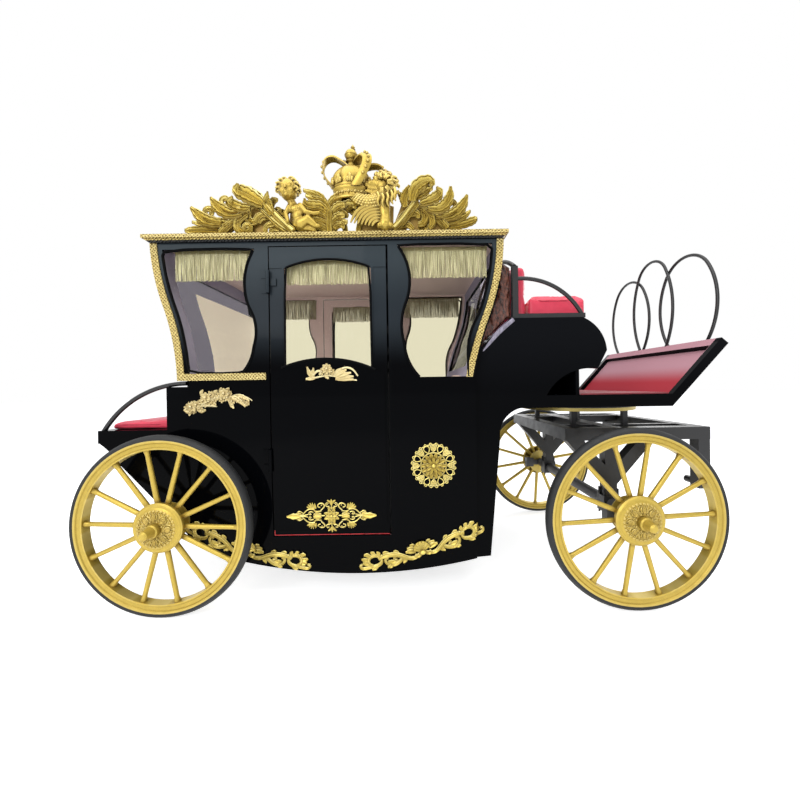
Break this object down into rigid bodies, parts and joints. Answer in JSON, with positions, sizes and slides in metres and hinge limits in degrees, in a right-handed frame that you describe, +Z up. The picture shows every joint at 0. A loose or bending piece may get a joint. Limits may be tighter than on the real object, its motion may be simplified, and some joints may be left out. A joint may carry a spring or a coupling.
{
  "type": "horse drawn carriage",
  "caption": "Closed four-wheeled coronation coach with gilded roof crest, glazed cabin, hinged side doors, raised driver's box, turntable steering and wooden-style spoked wheels.",
  "frame": {"origin": "on the ground under the centre of the bounding box", "axes": "+X forward towards the horses, +Y to the carriage's left, +Z up"},
  "size_m": [3.7698, 1.8, 2.6539],
  "materials": {
    "black_lacquer": "gloss",
    "gilding": "satin gold paint",
    "window_glass": "clear",
    "lining": "woven cloth",
    "cream_fringe": "bullion fringe",
    "red_leather": "soft satin",
    "dark_red_leather": "buttoned",
    "red_carpet": "pile",
    "grey_steel": "matt",
    "black_frame_paint": "satin",
    "tyre_rubber": "matt"
  },
  "bodies": {
    "coach": {"cabin_side_left": "black_lacquer", "cabin_side_right": "black_lacquer", "cabin_rear_wall": "black_lacquer", "cabin_front_wall": "black_lacquer", "belly_pan": "black_lacquer", "cabin_floor": "black_lacquer", "cabin_glass": "window_glass", "window_trim": "gilding", "roof_panel": "black_lacquer", "roof_cornice": "gilding", "crest_left": "gilding", "crest_right": "gilding", "benches": "lining", "bench_cushions": "lining", "bench_backs": "lining", "fringes": "cream_fringe", "rear_boot": "black_lacquer", "rear_seat_board": "black_lacquer", "rear_seat_cushion": "red_leather", "rear_handrails": "black_frame_paint", "neck_sides": "black_lacquer", "neck_panels": "black_lacquer", "seat_cheeks": "dark_red_leather", "driver_platform": "black_lacquer", "toe_board": "black_lacquer", "turntable_upper": "black_frame_paint", "driver_carpet": "red_carpet", "driver_seat_box": "black_lacquer", "driver_seat_cushion": "red_leather", "driver_seat_back": "red_leather", "driver_arms": "black_frame_paint", "driver_back_arch": "black_frame_paint", "dash_hoop_right": "black_frame_paint", "dash_hoop_middle": "black_frame_paint", "dash_hoop_left": "black_frame_paint", "rear_axle": "black_frame_paint"},
    "door_right": {"door_right": "black_lacquer", "door_glass_right": "window_glass", "door_fringe_right": "cream_fringe"},
    "door_left": {"door_left": "black_lacquer", "door_glass_left": "window_glass", "door_fringe_left": "cream_fringe"},
    "forecarriage": {"fore_frame": "black_frame_paint", "fore_axle_brackets": "black_frame_paint", "front_axle": "grey_steel", "turntable_lower": "gilding", "turntable_posts": "black_frame_paint"},
    "front_right_wheel": {"tyre_front_right": "tyre_rubber", "wheel_front_right": "gilding"},
    "front_left_wheel": {"tyre_front_left": "tyre_rubber", "wheel_front_left": "gilding"},
    "rear_right_wheel": {"tyre_rear_right": "tyre_rubber", "wheel_rear_right": "gilding"},
    "rear_left_wheel": {"tyre_rear_left": "tyre_rubber", "wheel_rear_left": "gilding"}
  },
  "joints": [
    {"name": "door_right_hinge", "type": "hinge", "parent": "coach", "child": "door_right", "pos_m": [-0.825, -0.654, 1.2], "axis": [0, 0, -1], "range_deg": [0, 88]},
    {"name": "door_left_hinge", "type": "hinge", "parent": "coach", "child": "door_left", "pos_m": [-0.825, 0.654, 1.2], "axis": [0, 0, 1], "range_deg": [0, 88]},
    {"name": "steering", "type": "hinge", "parent": "coach", "child": "forecarriage", "pos_m": [1.25, 0, 1.08], "axis": [0, 0, 1], "range_deg": [-18, 18]},
    {"name": "front_right_wheel_spin", "type": "hinge", "parent": "forecarriage", "child": "front_right_wheel", "pos_m": [1.225, -0.75, 0.5], "axis": [0, 1, 0], "continuous": true},
    {"name": "front_left_wheel_spin", "type": "hinge", "parent": "forecarriage", "child": "front_left_wheel", "pos_m": [1.225, 0.75, 0.5], "axis": [0, 1, 0], "continuous": true},
    {"name": "rear_right_wheel_spin", "type": "hinge", "parent": "coach", "child": "rear_right_wheel", "pos_m": [-1.385, -0.75, 0.5], "axis": [0, 1, 0], "continuous": true},
    {"name": "rear_left_wheel_spin", "type": "hinge", "parent": "coach", "child": "rear_left_wheel", "pos_m": [-1.385, 0.75, 0.5], "axis": [0, 1, 0], "continuous": true}
  ]
}
